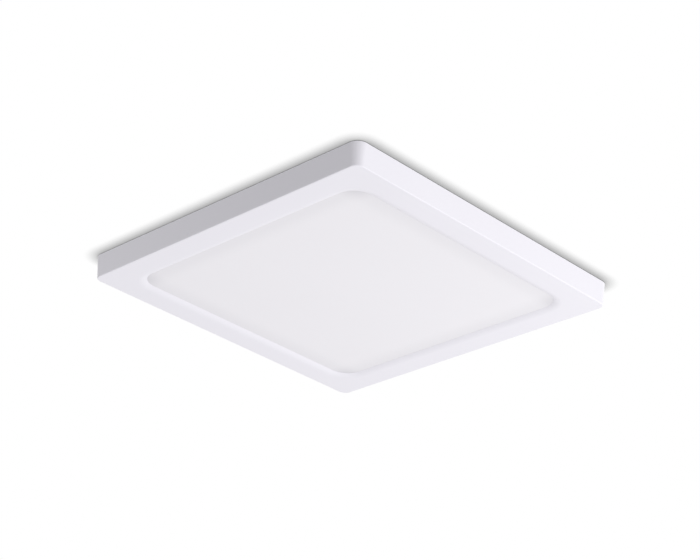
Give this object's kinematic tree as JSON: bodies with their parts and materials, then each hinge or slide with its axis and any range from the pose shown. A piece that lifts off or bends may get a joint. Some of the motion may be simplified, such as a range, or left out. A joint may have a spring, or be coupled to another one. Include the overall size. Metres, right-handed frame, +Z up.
{
  "type": "square led downlight",
  "caption": "Slim square LED ceiling downlight with a flat white frame, recessed opal diffuser, sliding sprung clips and a rear driver box with a hinged terminal lid.",
  "frame": {"origin": "middle of the plane where the frame's upper edge meets the ceiling", "axes": "+Z up into the ceiling, so the light leaves towards -Z; the clips lie along X and the mains cable enters from +Y"},
  "size_m": [0.225, 0.225, 0.0352],
  "materials": {
    "white_frame": "satin",
    "opal_diffuser": "satin",
    "clear_guide": "gloss",
    "white_sheet": "matte",
    "grey_foam": "matte",
    "plate_metal": "satin",
    "strip_board": "satin",
    "led_yellow": "gloss",
    "screw_steel": "satin",
    "rail_steel": "satin",
    "spring_steel": "gloss",
    "carriage_plastic": "satin",
    "sleeve_rubber": "matte",
    "driver_plastic": "satin",
    "board_green": "satin",
    "ferrite": "matte",
    "winding_tape": "satin",
    "can_sleeve": "gloss",
    "fuse_glass": "gloss",
    "terminal_plastic": "satin",
    "button_orange": "satin",
    "grommet_rubber": "matte"
  },
  "bodies": {
    "panel": {"front_frame": "white_frame", "diffuser": "opal_diffuser", "light_guide": "clear_guide", "reflector_sheet": "white_sheet", "foam_pad": "grey_foam", "back_plate": "plate_metal", "led_strip": "strip_board", "led_chips": "led_yellow", "plate_screws": "screw_steel", "driver_screws": "screw_steel", "cover_screws": "screw_steel", "board_screws": "screw_steel", "clamp_screws": "screw_steel", "rail_rivets": "screw_steel", "lid_pin": "screw_steel", "clip_rail_right": "rail_steel", "clip_rail_left": "rail_steel", "driver_base": "driver_plastic", "driver_cover": "driver_plastic", "driver_board": "board_green", "transformer_core": "ferrite", "choke": "ferrite", "transformer_winding": "winding_tape", "input_capacitor": "can_sleeve", "output_capacitor": "can_sleeve", "fuse": "fuse_glass", "output_connector": "terminal_plastic", "terminal_block": "terminal_plastic", "cable_clamp": "terminal_plastic", "cable_grommet": "grommet_rubber"},
    "right_carriage": {"clip_carriage_right": "carriage_plastic", "clip_pin_right": "screw_steel", "clip_spring_right": "spring_steel"},
    "right_arm": {"clip_arm_right": "rail_steel", "clip_sleeve_right": "sleeve_rubber"},
    "left_carriage": {"clip_carriage_left": "carriage_plastic", "clip_pin_left": "screw_steel", "clip_spring_left": "spring_steel"},
    "left_arm": {"clip_arm_left": "rail_steel", "clip_sleeve_left": "sleeve_rubber"},
    "lid": {"terminal_lid": "driver_plastic"},
    "live_button": {"release_button_live": "button_orange"},
    "neutral_button": {"release_button_neutral": "button_orange"}
  },
  "joints": [
    {"name": "clip_right_slide", "type": "slide", "parent": "panel", "child": "right_carriage", "axis": [1, 0, 0], "range_m": [-0.024, 0.024]},
    {"name": "clip_right_swing", "type": "hinge", "parent": "right_carriage", "child": "right_arm", "pos_m": [0.06919, 0, 0.00605], "axis": [0, -1, 0], "range_deg": [0, 95], "stiffness_Nm_per_rad": 0.12, "springref_deg": -28.65, "deforming": ["clip_spring_right"]},
    {"name": "clip_left_slide", "type": "slide", "parent": "panel", "child": "left_carriage", "axis": [-1, 0, 0], "range_m": [-0.024, 0.024]},
    {"name": "clip_left_swing", "type": "hinge", "parent": "left_carriage", "child": "left_arm", "pos_m": [-0.06919, 0, 0.00605], "axis": [0, 1, 0], "range_deg": [0, 95], "stiffness_Nm_per_rad": 0.12, "springref_deg": -28.65, "deforming": ["clip_spring_left"]},
    {"name": "terminal_lid_hinge", "type": "hinge", "parent": "panel", "child": "lid", "pos_m": [0, 0.009, 0.0182], "axis": [1, 0, 0], "range_deg": [0, 100]},
    {"name": "release_button_live_press", "type": "slide", "parent": "panel", "child": "live_button", "axis": [0, 0, -1], "range_m": [0, 0.0012], "stiffness_N_per_m": 40, "springref_m": -0.003},
    {"name": "release_button_neutral_press", "type": "slide", "parent": "panel", "child": "neutral_button", "axis": [0, 0, -1], "range_m": [0, 0.0012], "stiffness_N_per_m": 40, "springref_m": -0.003}
  ]
}
